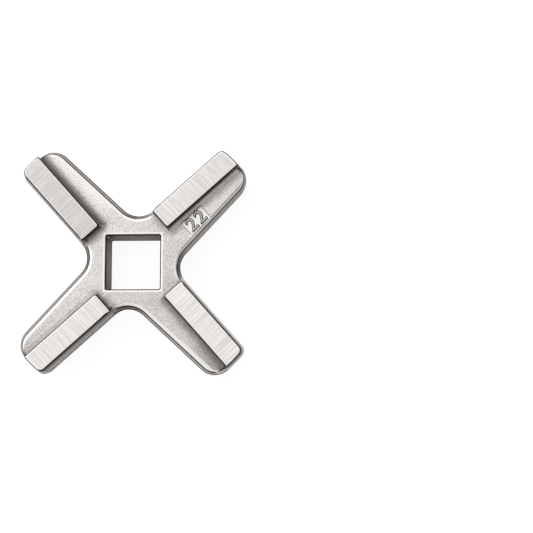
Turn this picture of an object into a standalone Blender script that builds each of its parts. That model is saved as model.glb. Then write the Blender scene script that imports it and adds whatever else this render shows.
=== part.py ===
"""Meat grinder knife: one casting with four arms round a square drive hole.

Each arm carries a raised land along its leading side, ground flat, whose outer edge cuts. Behind
the land the cast surface lies lower: a hollow fillet runs down to it, and its own rim rolls over
to the outline, where the two halves of the mould part.

Metres, +Z up. The origin is the centre of the square hole on the back face, so the knife lies on
its back with the lands facing up, and turns about Z.
"""

from math import atan2, cos, pi, radians, sin, sqrt, tan

import bpy
from mathutils import Matrix, Vector

OBJECT = "meat_grinder_knife"

# Arms, seen from the ground side; the land's leading edge is the cutting edge
ARMS = 4
TIP_RADIUS = 0.0390
LAND_ANGLE = radians(40.5)
CUTTING_EDGE_OFFSET = 0.00645
LAND_WIDTH = 0.0062
LAND_START = 0.0132
LAND_CORNER = 0.0005
TRAILING_OFFSET = 0.0087
TRAILING_TAPER = radians(5.5)
LEADING_CORNER = 0.0022
TRAILING_CORNER = 0.0053
HUB_FILLET = 0.0060

# Heights above the back face
BODY_HEIGHT = 0.0100
LAND_RISE = 0.0035
PARTING_DROP = 0.0015
CREASE_DROP = 0.0006

# Walls and edges
WALL_FLARE = 0.00075
TIP_FLARE = 0.0003
MOULD_DRAFT = radians(8.0)
RIM_ROLL = 0.0011
TIP_ROLL = 0.0006
BACK_EDGE_RADIUS = 0.0010
GULLY_RADIUS = 0.0028
END_FILLET = 0.0016
LAND_DRAFT = radians(2.5)
HOLLOW_SLOPE = radians(15)
GROUND_BEVEL = 0.00015

# Square drive hole, cast with a little draft that opens it towards the lands
HOLE_WIDTH = 0.0148
HOLE_DRAFT = radians(1.2)
HOLE_CORNER = 0.0007
HOLE_CHAMFER = 0.00035

# How far the pieces that a Boolean joins reach into or past each other
SEAT = 0.00005
SINK = 0.00002
REACH = 0.0006
MARGIN = 0.0030

# Facets of a round stretch, and the angle from which an edge shades sharp
HUB_STEPS = 12
CORNER_STEPS = 7
TIP_STEPS = 8
FILLET_STEPS = 10
ROLL_STEPS = 6
SHARP_ANGLE = radians(30)

LAND_HEIGHT = BODY_HEIGHT + LAND_RISE
PARTING_HEIGHT = BODY_HEIGHT - PARTING_DROP
CREASE_HEIGHT = BODY_HEIGHT - CREASE_DROP
ARM_PITCH = 2 * pi / ARMS


def clear_scene():
    for obj in list(bpy.data.objects):
        bpy.data.objects.remove(obj, do_unlink=True)


def make_collection(name):
    collection = bpy.data.collections.new(name)
    bpy.context.scene.collection.children.link(collection)
    return collection


def make_material(name, colour, roughness, metallic):
    material = bpy.data.materials.new(name)
    material.use_nodes = True
    shader = material.node_tree.nodes["Principled BSDF"]
    shader.inputs["Base Color"].default_value = (*colour, 1.0)
    shader.inputs["Roughness"].default_value = roughness
    shader.inputs["Metallic"].default_value = metallic
    material.diffuse_color = (*colour, 1.0)
    return material


def turned(vector, angle):
    return Matrix.Rotation(angle, 2) @ vector


def arc(centre, radius, start, end, steps):
    """Points along an arc, both ends included."""
    points = []
    for step in range(steps + 1):
        angle = start + (end - start) * step / steps
        points.append(centre + radius * Vector((cos(angle), sin(angle))))
    return points


def after(angle, start):
    """The angle as reached by turning counter-clockwise from start."""
    return start + (angle - start) % (2 * pi)


def before(angle, start):
    """The angle as reached by turning clockwise from start."""
    return start - (start - angle) % (2 * pi)


def direction(vector):
    return atan2(vector.y, vector.x)


def meeting_point(normal_a, distance_a, normal_b, distance_b):
    """Where two lines cross, each given by its normal and its distance from the origin."""
    lines = Matrix((normal_a, normal_b))
    return lines.inverted() @ Vector((distance_a, distance_b))


def corner_centre(normal, distance, tip, radius, end):
    """Centre of a corner inside the tip circle that touches a wall and the circle.

    The wall is a line given by its normal and distance; end is 1 or -1 and picks which of its
    two meetings with the circle is rounded.
    """
    along = Vector((-normal.y, normal.x))
    inner = distance - radius
    reach = sqrt((tip - radius) ** 2 - inner**2)
    return normal * inner + along * reach * end


def arm_outline(side, tip):
    """One arm's share of the outline, counter-clockwise from the hub fillet before it.

    side and tip are how far the walls and the tip lie outside the parting line.
    """
    leading = Vector((-sin(LAND_ANGLE), cos(LAND_ANGLE)))
    trailing_angle = LAND_ANGLE + TRAILING_TAPER
    trailing = Vector((sin(trailing_angle), -cos(trailing_angle)))
    previous = turned(leading, -ARM_PITCH)
    leading_wall = CUTTING_EDGE_OFFSET + WALL_FLARE + side
    trailing_wall = TRAILING_OFFSET + side
    tip_radius = TIP_RADIUS + TIP_FLARE + tip
    hub = HUB_FILLET - side
    inner_corner = max(LEADING_CORNER + (side + tip) / 2, SEAT)
    outer_corner = max(TRAILING_CORNER + (side + tip) / 2, SEAT)

    hub_centre = meeting_point(previous, leading_wall + hub, trailing, trailing_wall + hub)
    start = direction(-previous)
    points = arc(hub_centre, hub, start, before(direction(-trailing), start), HUB_STEPS)

    trail_centre = corner_centre(trailing, trailing_wall, tip_radius, outer_corner, 1)
    lead_centre = corner_centre(leading, leading_wall, tip_radius, inner_corner, -1)
    start, end = direction(trailing), after(direction(trail_centre), direction(trailing))
    points += arc(trail_centre, outer_corner, start, end, CORNER_STEPS)

    start, end = end, after(direction(lead_centre), end)
    points += arc(Vector((0, 0)), tip_radius, start, end, TIP_STEPS)[1:-1]

    start, end = end, after(direction(leading), end)
    points += arc(lead_centre, inner_corner, start, end, CORNER_STEPS)
    return points


def body_ring(height, side, tip):
    """The whole outline at a height, as points in space."""
    ring = []
    for arm in range(ARMS):
        for point in arm_outline(side, tip):
            ring.append(turned(point, arm * ARM_PITCH).to_3d() + Vector((0, 0, height)))
    return ring


def mesh_from_rings(name, stacks):
    """A mesh of closed lofts, each a stack of rings from its foot to its top."""
    points = []
    faces = []
    for rings in stacks:
        count = len(rings[0])
        foot = len(points)
        top = foot + count * (len(rings) - 1)
        for ring in rings:
            points += ring
        faces.append(tuple(reversed(range(foot, foot + count))))
        for level in range(len(rings) - 1):
            low = foot + level * count
            for index in range(count):
                following = (index + 1) % count
                high = low + count
                faces.append((low + index, low + following, high + following, high + index))
        faces.append(tuple(range(top, top + count)))
    mesh = bpy.data.meshes.new(name)
    mesh.from_pydata(points, [], faces)
    mesh.update()
    return mesh


def shade_round(mesh):
    """Shades the round stretches of a mesh smooth and keeps its sharp edges."""
    mesh.shade_smooth()
    mesh.set_sharp_from_angle(angle=SHARP_ANGLE)
    return mesh


def add_object(name, mesh, collection, materials=()):
    obj = bpy.data.objects.new(name, mesh)
    for material in materials:
        mesh.materials.append(material)
    collection.objects.link(obj)
    return obj


def add_helper(name, mesh, collection, materials=()):
    """A cutter, or a shape that is joined to the body, which isn't a piece by itself."""
    obj = add_object(name, mesh, collection, materials)
    obj.hide_render = True
    obj.display_type = "WIRE"
    return obj


def add_boolean(obj, other, operation):
    modifier = obj.modifiers.new(operation.lower() + "_" + other.name, "BOOLEAN")
    modifier.operation = operation
    modifier.object = other
    modifier.solver = "EXACT"


def drafted_in(height):
    """How far the lower wall has drawn in at a height below the parting line."""
    return (PARTING_HEIGHT - height) * tan(MOULD_DRAFT)


def low_body_rings():
    """Hub and arms up to the cast surface: rounded back edge, drafted wall, crease, rolled rim."""
    rings = []
    for step in range(ROLL_STEPS + 1):
        angle = pi / 2 * step / ROLL_STEPS
        height = BACK_EDGE_RADIUS * (1 - cos(angle))
        inset = drafted_in(height) + BACK_EDGE_RADIUS * (1 - sin(angle))
        rings.append(body_ring(height, -inset, -inset))
    rings.append(body_ring(PARTING_HEIGHT, 0, 0))
    for step in range(ROLL_STEPS + 1):
        angle = pi / 2 * step / ROLL_STEPS
        height = CREASE_HEIGHT + CREASE_DROP * sin(angle)
        rolled = 1 - cos(angle)
        side = -WALL_FLARE - RIM_ROLL * rolled
        rings.append(body_ring(height, side, -TIP_FLARE - TIP_ROLL * rolled))
    return rings


def land_blank_rings():
    """The full height of the arms inside the walls that lean out from the lands to the parting."""
    bevel_foot = (GROUND_BEVEL + SEAT) / (LAND_HEIGHT - PARTING_HEIGHT)
    side = -WALL_FLARE * (1 - bevel_foot)
    tip = -TIP_FLARE * (1 - bevel_foot)
    return [
        body_ring(PARTING_HEIGHT - REACH, -SEAT - REACH / 2, -SEAT - REACH / 2),
        body_ring(PARTING_HEIGHT, -SEAT, -SEAT),
        body_ring(LAND_HEIGHT - GROUND_BEVEL, side, tip),
        body_ring(LAND_HEIGHT, -WALL_FLARE - GROUND_BEVEL, -TIP_FLARE - GROUND_BEVEL),
    ]


def hollow_blank_rings():
    """What bounds the ends of the hollow fillets: walls that slope up from the rolled rim."""
    side = -WALL_FLARE - RIM_ROLL + SEAT
    tip = -TIP_FLARE - TIP_ROLL + SEAT
    slope = LAND_RISE * tan(HOLLOW_SLOPE)
    return [
        body_ring(PARTING_HEIGHT, side, tip),
        body_ring(BODY_HEIGHT, side, tip),
        body_ring(LAND_HEIGHT, side - slope, tip - slope),
    ]


def hollow(radius, rise):
    """How far a hollow fillet reaches out at a height above its foot."""
    if rise >= radius:
        return 0.0
    return radius - sqrt(radius**2 - (radius - rise) ** 2)


def plinth_ring(height, gully, end):
    """One land's outline at a height, drawn along +X, and open past the tip and leading wall.

    gully and end are how far it reaches out behind the land and at its inner end.
    """
    back = CUTTING_EDGE_OFFSET - LAND_WIDTH - gully
    front = CUTTING_EDGE_OFFSET + WALL_FLARE + MARGIN
    inner = LAND_START - end
    outer = TIP_RADIUS + TIP_FLARE + MARGIN
    corner = max(LAND_CORNER + min(gully, end), SEAT)
    centre = Vector((inner + corner, back + corner))
    ring = arc(centre, corner, pi, 3 * pi / 2, CORNER_STEPS)
    ring += [Vector((outer, back)), Vector((outer, front)), Vector((inner, front))]
    return [point.to_3d() + Vector((0, 0, height)) for point in ring]


def land_rings():
    """A land with its drafted walls and ground bevel, from deep in the arm to above its top."""
    foot = PARTING_HEIGHT - 2 * REACH
    spread = (LAND_HEIGHT - foot) * tan(LAND_DRAFT)
    return [
        plinth_ring(foot, spread, spread),
        plinth_ring(LAND_HEIGHT - GROUND_BEVEL, 0, 0),
        plinth_ring(LAND_HEIGHT + GROUND_BEVEL, -2 * GROUND_BEVEL, -2 * GROUND_BEVEL),
    ]


def hollow_rings():
    """The hollow fillets round a land, which stand a little inside the cast surface."""
    foot = BODY_HEIGHT - SINK
    rings = [plinth_ring(PARTING_HEIGHT - REACH, GULLY_RADIUS, END_FILLET)]
    for step in range(FILLET_STEPS + 1):
        rise = GULLY_RADIUS * (1 - cos(pi / 2 * step / FILLET_STEPS))
        gully = hollow(GULLY_RADIUS, rise)
        rings.append(plinth_ring(foot + rise, gully, hollow(END_FILLET, rise)))
    return rings


def square_ring(height, half):
    """A square with rounded corners, flat to X and Y."""
    ring = []
    inner = half - HOLE_CORNER
    for quarter in range(4):
        start = quarter * pi / 2
        centre = turned(Vector((inner, inner)), start)
        ring += arc(centre, HOLE_CORNER, start, start + pi / 2, CORNER_STEPS)
    return [point.to_3d() + Vector((0, 0, height)) for point in ring]


def hole_half_width(height):
    return HOLE_WIDTH / 2 - (BODY_HEIGHT - height) * tan(HOLE_DRAFT)


def hole_rings():
    """The square drive hole, chamfered at both faces."""
    low = hole_half_width(HOLE_CHAMFER)
    high = hole_half_width(BODY_HEIGHT - HOLE_CHAMFER)
    return [
        square_ring(-HOLE_CHAMFER, low + 2 * HOLE_CHAMFER),
        square_ring(HOLE_CHAMFER, low),
        square_ring(BODY_HEIGHT - HOLE_CHAMFER, high),
        square_ring(BODY_HEIGHT + HOLE_CHAMFER, high + 2 * HOLE_CHAMFER),
    ]


def plinth_mesh(name, rings):
    """A plinth, given by its rings along +X, stood on every arm."""
    stacks = []
    for arm in range(ARMS):
        turn = Matrix.Rotation(LAND_ANGLE + arm * ARM_PITCH, 3, "Z")
        stacks.append([[turn @ point for point in ring] for ring in rings])
    return mesh_from_rings(name, stacks)


def make_raised(name, blank_rings, plinths, collection, materials):
    """What stands on the cast surface: a blank of the arms' outline, kept only over the plinths."""
    kept = add_helper(plinths.name, plinths, collection)
    raised = add_helper(name, mesh_from_rings(name, [blank_rings]), collection, materials)
    add_boolean(raised, kept, "INTERSECT")
    return raised


def make_knife(collection, cutters):
    cast = make_material("cast_steel", (0.56, 0.54, 0.52), 0.42, 0.85)
    ground = make_material("ground_steel", (0.66, 0.64, 0.62), 0.30, 0.95)
    finishes = (cast, ground)
    body = shade_round(mesh_from_rings("knife", [low_body_rings()]))
    knife = add_object("knife", body, collection, finishes)
    hollow_plinths = shade_round(plinth_mesh("hollow_plinths", hollow_rings()))
    hollows = make_raised("hollows", hollow_blank_rings(), hollow_plinths, cutters, finishes)
    land_plinths = plinth_mesh("land_plinths", land_rings())
    lands = make_raised("lands", land_blank_rings(), land_plinths, cutters, finishes)
    lands.data.polygons[-1].material_index = finishes.index(ground)
    hole = add_helper("drive_hole", mesh_from_rings("drive_hole", [hole_rings()]), cutters)
    add_boolean(knife, hollows, "UNION")
    add_boolean(knife, lands, "UNION")
    add_boolean(knife, hole, "DIFFERENCE")
    return knife


def main():
    clear_scene()
    make_knife(make_collection(OBJECT), make_collection("cutters"))


main()
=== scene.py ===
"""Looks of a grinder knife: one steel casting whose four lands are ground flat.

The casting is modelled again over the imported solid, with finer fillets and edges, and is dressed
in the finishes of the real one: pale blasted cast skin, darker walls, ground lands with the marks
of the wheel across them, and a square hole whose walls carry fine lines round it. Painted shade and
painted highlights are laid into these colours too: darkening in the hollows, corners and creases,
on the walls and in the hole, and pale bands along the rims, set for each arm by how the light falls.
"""

import logging
from dataclasses import dataclass
from enum import Enum
from math import atan2, cos, pi, radians, sin, sqrt, tan
from typing import Callable, Sequence, Union

import bmesh
import bpy
from mathutils import Matrix, Vector


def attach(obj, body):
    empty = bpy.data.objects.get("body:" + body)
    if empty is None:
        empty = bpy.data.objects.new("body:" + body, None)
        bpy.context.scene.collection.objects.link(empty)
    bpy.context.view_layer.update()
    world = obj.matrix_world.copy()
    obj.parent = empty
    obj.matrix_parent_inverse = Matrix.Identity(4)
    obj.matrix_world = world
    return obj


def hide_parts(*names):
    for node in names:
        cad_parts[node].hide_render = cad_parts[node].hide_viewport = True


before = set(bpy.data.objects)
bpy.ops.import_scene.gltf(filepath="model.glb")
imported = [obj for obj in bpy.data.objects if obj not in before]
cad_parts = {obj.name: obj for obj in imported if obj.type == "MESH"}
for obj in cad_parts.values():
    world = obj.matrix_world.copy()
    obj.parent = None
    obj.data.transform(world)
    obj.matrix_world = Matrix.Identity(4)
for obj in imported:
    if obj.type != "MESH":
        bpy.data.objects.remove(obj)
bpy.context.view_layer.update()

LOG = logging.getLogger("grinder_knife")
RING_PLACE = "place_in_ring"
MM = 0.001
TINY = 0.00001

Piece = bpy.types.Object
Socket = bpy.types.NodeSocket
Value = Union[float, Sequence[float], Socket, "Number"]
EdgeTest = Callable[[bmesh.types.BMEdge], bool]
Ring = list[Vector]
Colour = tuple[float, float, float]
Levels = tuple[float, float, float, float]
Span = tuple[float, ...]
Stops = tuple[tuple[float, float], ...]


def mm(*lengths: float) -> Span:
    """Gives lengths in metres that are written in millimetres."""
    return tuple(length * MM for length in lengths)


class Skin(Enum):
    """The finishes of the casting, each with its place among the mesh's material slots."""

    CAST = 0
    GROUND = 1
    EDGE = 2
    HOLE = 3
    PAD = 4
    FIGURE = 5
    # The near-black sides of the figures and of the pad are painted shade.
    OUTLINE = 6


# Modelling by hand


def deselect_all() -> None:
    """Leaves object mode with nothing selected, so that an operator acts on new work only."""
    if bpy.context.object and bpy.context.object.mode != "OBJECT":
        bpy.ops.object.mode_set(mode="OBJECT")
    bpy.ops.object.select_all(action="DESELECT")


def pick(obj: Piece) -> None:
    """Makes one object the only one selected, and the active one.

    Args:
        obj: The object that the next operator acts on.
    """
    deselect_all()
    obj.select_set(True)
    bpy.context.view_layer.objects.active = obj


def apply_modifier(obj: Piece, kind: str, **settings: object) -> None:
    """Adds a modifier, sets it and applies it.

    Args:
        obj: The object that it shapes.
        kind: The modifier's type.
        settings: Its settings by name.
    """
    pick(obj)
    modifier = obj.modifiers.new(kind.lower(), kind)
    for name, value in settings.items():
        setattr(modifier, name, value)
    bpy.ops.object.modifier_apply(modifier=modifier.name)


def combine(obj: Piece, other: Piece, operation: str) -> None:
    """Joins (UNION), cuts (DIFFERENCE) or crosses (INTERSECT) an object with one that it uses up."""
    apply_modifier(obj, "BOOLEAN", operation=operation, object=other, solver="EXACT")
    bpy.data.objects.remove(other)


def round_edges(obj: Piece, wanted: EdgeTest, width: float, segments: int) -> None:
    """Rounds some edges of an object over.

    Args:
        obj: The object to shape.
        wanted: Says of an edge whether it is rounded.
        width: How far from the edge the rounding starts.
        segments: Facets of the rounding.
    """
    pick(obj)
    bpy.ops.object.mode_set(mode="EDIT")
    bpy.ops.mesh.select_mode(type="EDGE")
    bpy.ops.mesh.select_all(action="DESELECT")
    mesh = bmesh.from_edit_mesh(obj.data)
    chosen = [edge for edge in mesh.edges if wanted(edge)]
    for edge in chosen:
        edge.select_set(True)
    bmesh.update_edit_mesh(obj.data)
    bpy.ops.mesh.bevel(offset=width, offset_type="OFFSET", segments=segments, profile=0.5)
    bpy.ops.object.mode_set(mode="OBJECT")
    LOG.info("%s: %d edges rounded by %.2f mm", obj.name, len(chosen), width / MM)


def loft(name: str, rings: Sequence[Ring]) -> Piece:
    """Makes a closed shell: a circle set to the first ring, and extruded once for each other.

    Args:
        name: The object's name.
        rings: The rings from the foot to the top, each with as many points as the first.

    Returns:
        The object.
    """
    deselect_all()
    first = rings[0]
    bpy.ops.mesh.primitive_circle_add(
        vertices=len(first), radius=first[0].length, fill_type="NGON"
    )
    made = bpy.context.object
    made.name = made.data.name = name
    bpy.ops.object.mode_set(mode="EDIT")
    mesh = bmesh.from_edit_mesh(made.data)
    mark = mesh.verts.layers.int.new(RING_PLACE)
    for index, vertex in enumerate(mesh.verts):
        vertex[mark] = index
    for ring in rings:
        if ring is not first:
            bpy.ops.mesh.extrude_region_move()
        mesh = bmesh.from_edit_mesh(made.data)
        mark = mesh.verts.layers.int[RING_PLACE]
        for vertex in mesh.verts:
            if vertex.select:
                vertex.co = ring[vertex[mark]]
        bmesh.update_edit_mesh(made.data)
    bpy.ops.mesh.select_all(action="SELECT")
    bpy.ops.mesh.normals_make_consistent(inside=False)
    bpy.ops.object.mode_set(mode="OBJECT")
    made.data.attributes.remove(made.data.attributes[RING_PLACE])
    return made


# Outline of the knife


def arc(centre: Vector, radius: float, start: float, end: float, steps: int) -> Ring:
    """Gives the points of an arc, from one angle to another, both ends included."""
    angles = [start + (end - start) * step / steps for step in range(steps + 1)]
    return [centre + radius * Vector((cos(angle), sin(angle))) for angle in angles]


def quarter(steps: int) -> list[float]:
    """Gives the angles of a quarter turn in equal steps, both ends included."""
    return [pi / 2 * step / steps for step in range(steps + 1)]


def turned(vector: Vector, angle: float) -> Vector:
    """Gives a flat vector turned by an angle."""
    return Matrix.Rotation(angle, 2) @ vector


def bearing(vector: Vector) -> float:
    """Gives the direction of a flat vector as an angle."""
    return atan2(vector.y, vector.x)


def onward(angle: float, start: float) -> float:
    """Gives an angle as reached by turning counter-clockwise from start."""
    return start + (angle - start) % (2 * pi)


@dataclass(frozen=True)
class Plan:
    """The knife's outline as seen from its ground side, and its heights, in metres."""

    arms: int = 4
    tip_radius: float = 38.98 * MM
    land_angle: float = radians(40.5)
    cutting_edge: float = 6.45 * MM
    land_width: float = 6.2 * MM
    land_start: float = 13.2 * MM
    trailing: float = 8.7 * MM
    taper: float = radians(5.5)
    leading_corner: float = 2.2 * MM
    trailing_corner: float = 5.3 * MM
    hub_fillet: float = 6.0 * MM
    wall_flare: float = 0.75 * MM
    tip_flare: float = 0.3 * MM
    hole_turn: float = radians(-1.2)
    body_height: float = 10.0 * MM
    land_height: float = 13.5 * MM
    parting_height: float = 8.5 * MM
    hub_steps: int = 22
    corner_steps: int = 16
    tip_steps: int = 12
    wall_steps: int = 16

    @property
    def pitch(self) -> float:
        """The angle from one arm to the next."""
        return 2 * pi / self.arms

    def _stretch(self, start: Vector, end: Vector) -> Ring:
        """Gives the points along a straight wall, without its two ends."""
        shares = [step / self.wall_steps for step in range(1, self.wall_steps)]
        return [start.lerp(end, share) for share in shares]

    def _arm(self, side: float, tip: float) -> Ring:
        """Gives one arm's share of the outline, counter-clockwise from the fillet before it.

        Args:
            side: How far the walls lie outside the parting line.
            tip: How far the tip does.

        Returns:
            The points.
        """
        lead = Vector((-sin(self.land_angle), cos(self.land_angle)))
        trail_angle = self.land_angle + self.taper
        trail = Vector((sin(trail_angle), -cos(trail_angle)))
        before = turned(lead, -self.pitch)
        lead_wall = self.cutting_edge + self.wall_flare + side
        trail_wall = self.trailing + side
        radius = self.tip_radius + self.tip_flare + tip
        fillet = self.hub_fillet - side
        inner = max(self.leading_corner + (side + tip) / 2, TINY)
        outer = max(self.trailing_corner + (side + tip) / 2, TINY)

        lines = Matrix((before, trail)).inverted()
        hub = lines @ Vector((lead_wall + fillet, trail_wall + fillet))
        start = bearing(-before)
        points = arc(hub, fillet, start, -onward(-bearing(-trail), -start), self.hub_steps)

        trail_centre = self._corner(trail, trail_wall, radius, outer, 1)
        lead_centre = self._corner(lead, lead_wall, radius, inner, -1)
        start = bearing(trail)
        end = onward(bearing(trail_centre), start)
        corner = arc(trail_centre, outer, start, end, self.corner_steps)
        points += self._stretch(points[-1], corner[0]) + corner

        start, end = end, onward(bearing(lead_centre), end)
        points += arc(Vector((0, 0)), radius, start, end, self.tip_steps)[1:-1]
        start, end = end, onward(bearing(lead), end)
        points += arc(lead_centre, inner, start, end, self.corner_steps)

        following = turned(points[0], self.pitch)
        return points + self._stretch(points[-1], following)

    @staticmethod
    def _corner(normal: Vector, distance: float, tip: float, radius: float, end: int) -> Vector:
        """Gives the centre of a corner that touches a wall and the tip circle from inside.

        Args:
            normal: The wall's normal.
            distance: The wall's distance from the centre.
            tip: The tip circle's radius.
            radius: The corner's radius.
            end: 1 or -1, for the wall's one or other meeting with the circle.

        Returns:
            The centre.
        """
        inner = distance - radius
        along = Vector((-normal.y, normal.x)) * sqrt((tip - radius) ** 2 - inner**2)
        return normal * inner + along * end

    def ring(self, height: float, side: float = 0.0, tip: float = 0.0) -> Ring:
        """Gives the whole outline at a height.

        Args:
            height: The ring's height above the back face.
            side: How far the walls lie outside the parting line.
            tip: How far the tips do.

        Returns:
            The ring's points.
        """
        rise = Vector((0, 0, height))
        points = self._arm(side, tip)
        turns = [self.pitch * arm for arm in range(self.arms)]
        return [turned(point, turn).to_3d() + rise for turn in turns for point in points]

    def over_arm(self, along: float, across: float, height: float) -> Vector:
        """Gives a point by its place on the first arm: along it, towards its cutting edge, and up."""
        return turned(Vector((along, across)), self.land_angle).to_3d() + Vector((0, 0, height))

    def on_arm(self, point: Vector, arm: int) -> tuple[float, float]:
        """Gives a point's places along and across an arm."""
        flat = turned(point.to_2d(), -self.land_angle - self.pitch * arm)
        return flat.x, flat.y


# The size mark


@dataclass
class SizeMark:
    """The trade size in plain raised figures, on a low pad beside one land."""

    plan: Plan
    text: str = "22"
    along: float = 20.42 * MM
    across: float = -3.06 * MM
    turn: float = radians(1.3)
    length: float = 7.25 * MM
    width: float = 4.26 * MM
    corner: float = 0.25 * MM
    corner_steps: int = 5
    rise: float = 0.12 * MM
    slope: float = 0.14 * MM
    sunk: float = 0.15 * MM
    gap: float = 0.05 * MM
    clearance: float = 1.2 * MM
    clearance_lean: float = 0.2
    figure_size: float = 5.15 * MM
    figure_rise: float = 0.30 * MM
    figure_slope: float = 0.32 * MM
    figure_weight: float = 0.19 * MM
    figure_spacing: float = 1.205
    figure_shift: float = 0.16 * MM
    figure_steps: int = 6
    level: float = 0.95

    @property
    def top(self) -> float:
        """The height of the pad's face."""
        return self.plan.body_height + self.rise

    def _place(self, height: float) -> Matrix:
        """Gives the place of the mark on its arm, at a height."""
        centre = self.plan.over_arm(self.along, self.across, height)
        return Matrix.Translation(centre) @ Matrix.Rotation(self.plan.land_angle + self.turn, 4, "Z")

    def _outline(self, height: float, inset: float) -> Ring:
        """Gives the pad's outline.

        Args:
            height: The ring's height.
            inset: How far it is drawn in.

        Returns:
            The ring's points.
        """
        x, y = self.length / 2 - inset, self.width / 2 - inset
        ring = []
        for turn, (side_x, side_y) in enumerate(((1, 1), (-1, 1), (-1, -1), (1, -1))):
            centre = Vector((side_x * (x - self.corner), side_y * (y - self.corner)))
            start = turn * pi / 2
            ring += arc(centre, self.corner, start, start + pi / 2, self.corner_steps)
        return [self._place(height) @ point.to_3d() for point in ring]

    def pad(self) -> Piece:
        """Makes the pad.

        Returns:
            The object, sunk into the cast top.
        """
        foot = self.plan.body_height
        rings = [self._outline(foot - self.sunk, 0.0), self._outline(foot, 0.0)]
        return loft("size_pad", rings + [self._outline(self.top, self.slope)])

    def recess(self) -> Piece:
        """Makes the cutter that frees the pad from the hollow beside the land.

        Returns:
            The object, which ends a little outside the pad.
        """
        low, high = self.top - self.rise / 2, self.top + self.clearance
        wider = self.gap + self.clearance_lean * (high - low)
        return loft("size_recess", [self._outline(low, -self.gap), self._outline(high, -wider)])

    def figures(self) -> Piece:
        """Makes the figures, with sloped sides.

        Returns:
            The object, sunk into the pad.
        """
        deselect_all()
        bpy.ops.object.text_add()
        made = bpy.context.object
        made.name = "size_figures"
        text = made.data
        text.body = self.text
        text.size = self.figure_size
        text.align_x, text.align_y = "CENTER", "CENTER"
        text.space_character = self.figure_spacing
        text.offset = self.figure_weight - self.figure_slope
        text.extrude = text.bevel_depth = self.figure_slope
        text.resolution_u = self.figure_steps
        pick(made)
        bpy.ops.object.convert(target="MESH")
        mesh = made.data
        low = Vector([min(v.co[axis] for v in mesh.vertices) for axis in range(3)])
        high = Vector([max(v.co[axis] for v in mesh.vertices) for axis in range(3)])
        middle = (low + high) / 2
        mesh.transform(Matrix.Translation((-middle.x, self.figure_shift - middle.y, -high.z)))
        mesh.transform(self._place(self.top + self.figure_rise))
        bpy.ops.object.mode_set(mode="EDIT")
        bpy.ops.mesh.select_all(action="SELECT")
        bpy.ops.mesh.remove_doubles(threshold=TINY / 10)
        bpy.ops.mesh.normals_make_consistent(inside=False)
        bpy.ops.object.mode_set(mode="OBJECT")
        LOG.info("figures: %.2f by %.2f mm", (high.x - low.x) / MM, (high.y - low.y) / MM)
        return made

    def skin_of(self, centre: Vector, normal: Vector) -> Union[Skin, None]:
        """Tells the finish of a face that belongs to the mark.

        Args:
            centre: The face's middle.
            normal: Its normal.

        Returns:
            The finish, or nothing where the face lies outside the mark.
        """
        local = self._place(0.0).inverted() @ centre
        inside = abs(local.x) < self.length / 2 and abs(local.y) < self.width / 2
        if not inside or centre.z < self.plan.body_height + TINY:
            return None
        if centre.z > self.top + self.figure_rise - TINY:
            return Skin.FIGURE
        # Sides of the figures, and of the pad but near its one long edge, take the near-black painted
        # shade.
        if centre.z > self.top + TINY:
            return Skin.OUTLINE
        at_rim = local.y < self.slope + self.corner - self.width / 2
        return Skin.PAD if normal.z > self.level or at_rim else Skin.OUTLINE


# The casting


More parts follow.
